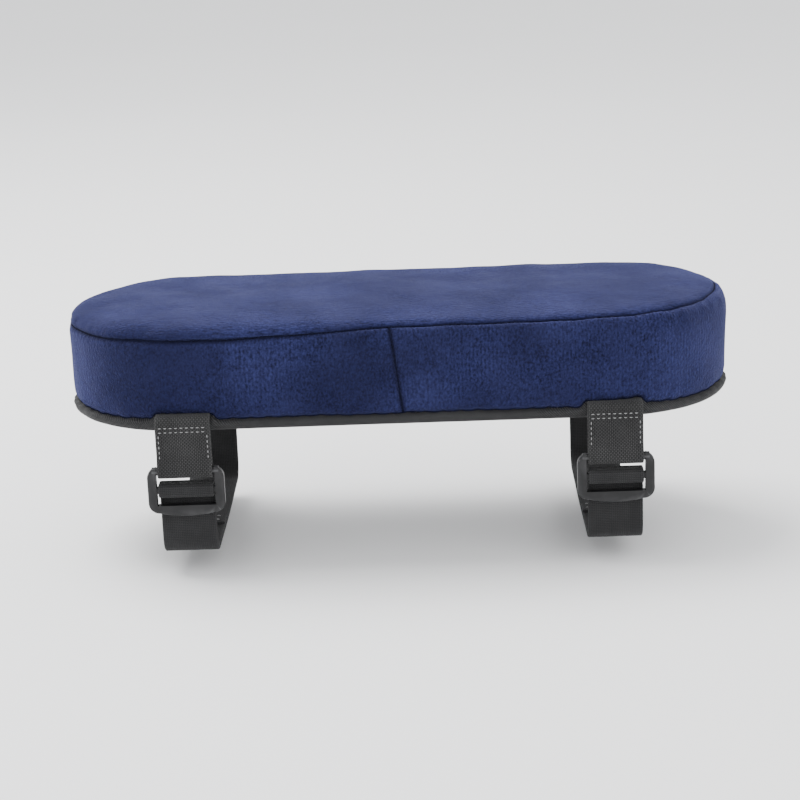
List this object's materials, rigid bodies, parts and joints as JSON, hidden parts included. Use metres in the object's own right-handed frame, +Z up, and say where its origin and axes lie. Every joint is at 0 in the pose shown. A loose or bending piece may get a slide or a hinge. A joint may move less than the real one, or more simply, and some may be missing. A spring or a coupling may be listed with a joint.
{
  "type": "chair armrest pad",
  "caption": "Obround foam armrest pad in a zipped plush cover, with a dotted grip underside and webbing straps that wrap under the armrest and adjust through three-bar sliders.",
  "frame": {"origin": "centre of the plane on which the grip dots' flat tips meet the armrest, at the tip of the middle dot", "axes": "+X along the pad, -Y the side with the strap sliders, +Y the side with the zip, +Z up through the padded top"},
  "size_m": [0.25, 0.1025, 0.0876],
  "materials": {
    "plush": "short-pile velour with a lengthwise nap",
    "grip_fabric": "diagonal twill weave",
    "grip_rubber": "satin moulded dots",
    "foam": "open-cell memory foam",
    "webbing": "ribbed polypropylene webbing",
    "slider_plastic": "satin moulded",
    "zip_tape": "woven tape",
    "zip_coil": "nylon coil",
    "zip_metal": "enamelled"
  },
  "bodies": {
    "root": {"foam_core": "foam", "top_panel": "plush", "side_band_left": "plush", "side_band_right": "plush", "bottom_panel": "grip_fabric", "grip_dots": "grip_rubber", "zip_panel_upper": "plush", "zip_panel_lower": "plush", "zip_tape_upper": "zip_tape", "zip_tape_lower": "zip_tape", "zip_coil_upper": "zip_coil", "zip_coil_lower": "zip_coil", "zip_stop_closed": "zip_metal", "zip_stop_open": "zip_metal", "left_tab": "webbing", "left_strap_root": "webbing", "left_strap_far_leg": "webbing", "left_strap_near_leg_lower": "webbing", "left_strap_near_leg_upper": "webbing", "left_tail_upper": "webbing", "left_tail_lower": "webbing", "right_tab": "webbing", "right_strap_root": "webbing", "right_strap_far_leg": "webbing", "right_strap_near_leg_lower": "webbing", "right_strap_near_leg_upper": "webbing", "right_tail_upper": "webbing", "right_tail_lower": "webbing"},
    "left_slider": {"left_slider": "slider_plastic", "left_strap_wrap": "webbing"},
    "left_loop": {"left_strap_base": "webbing", "left_tail_end": "webbing"},
    "right_slider": {"right_slider": "slider_plastic", "right_strap_wrap": "webbing"},
    "right_loop": {"right_strap_base": "webbing", "right_tail_end": "webbing"},
    "zip_slider": {"zip_slider": "zip_metal"},
    "zip_pull": {"zip_pull": "zip_metal"}
  },
  "joints": [
    {"name": "left_slider_tilt", "type": "hinge", "parent": "root", "child": "left_slider", "pos_m": [-0.078, -0.04835, -0.013], "axis": [-1, 0, 0], "range_deg": [0, 20], "deforming": ["left_strap_near_leg_upper", "left_tail_upper"]},
    {"name": "left_strap_adjust", "type": "slide", "parent": "root", "child": "left_loop", "axis": [0, 0, -1], "range_m": [-0.009, 0.006], "deforming": ["left_strap_far_leg", "left_strap_near_leg_lower", "left_tail_lower"]},
    {"name": "right_slider_tilt", "type": "hinge", "parent": "root", "child": "right_slider", "pos_m": [0.078, -0.04835, -0.013], "axis": [-1, 0, 0], "range_deg": [0, 20], "deforming": ["right_strap_near_leg_upper", "right_tail_upper"]},
    {"name": "right_strap_adjust", "type": "slide", "parent": "root", "child": "right_loop", "axis": [0, 0, -1], "range_m": [-0.009, 0.006], "deforming": ["right_strap_far_leg", "right_strap_near_leg_lower", "right_tail_lower"]},
    {"name": "zip_travel", "type": "slide", "parent": "root", "child": "zip_slider", "axis": [-1, 0, 0], "range_m": [0, 0.103]},
    {"name": "zip_pull_swing", "type": "hinge", "parent": "zip_slider", "child": "zip_pull", "pos_m": [0.0515, 0.0501, 0.019], "axis": [0, 0, -1], "range_deg": [0, 170]}
  ]
}
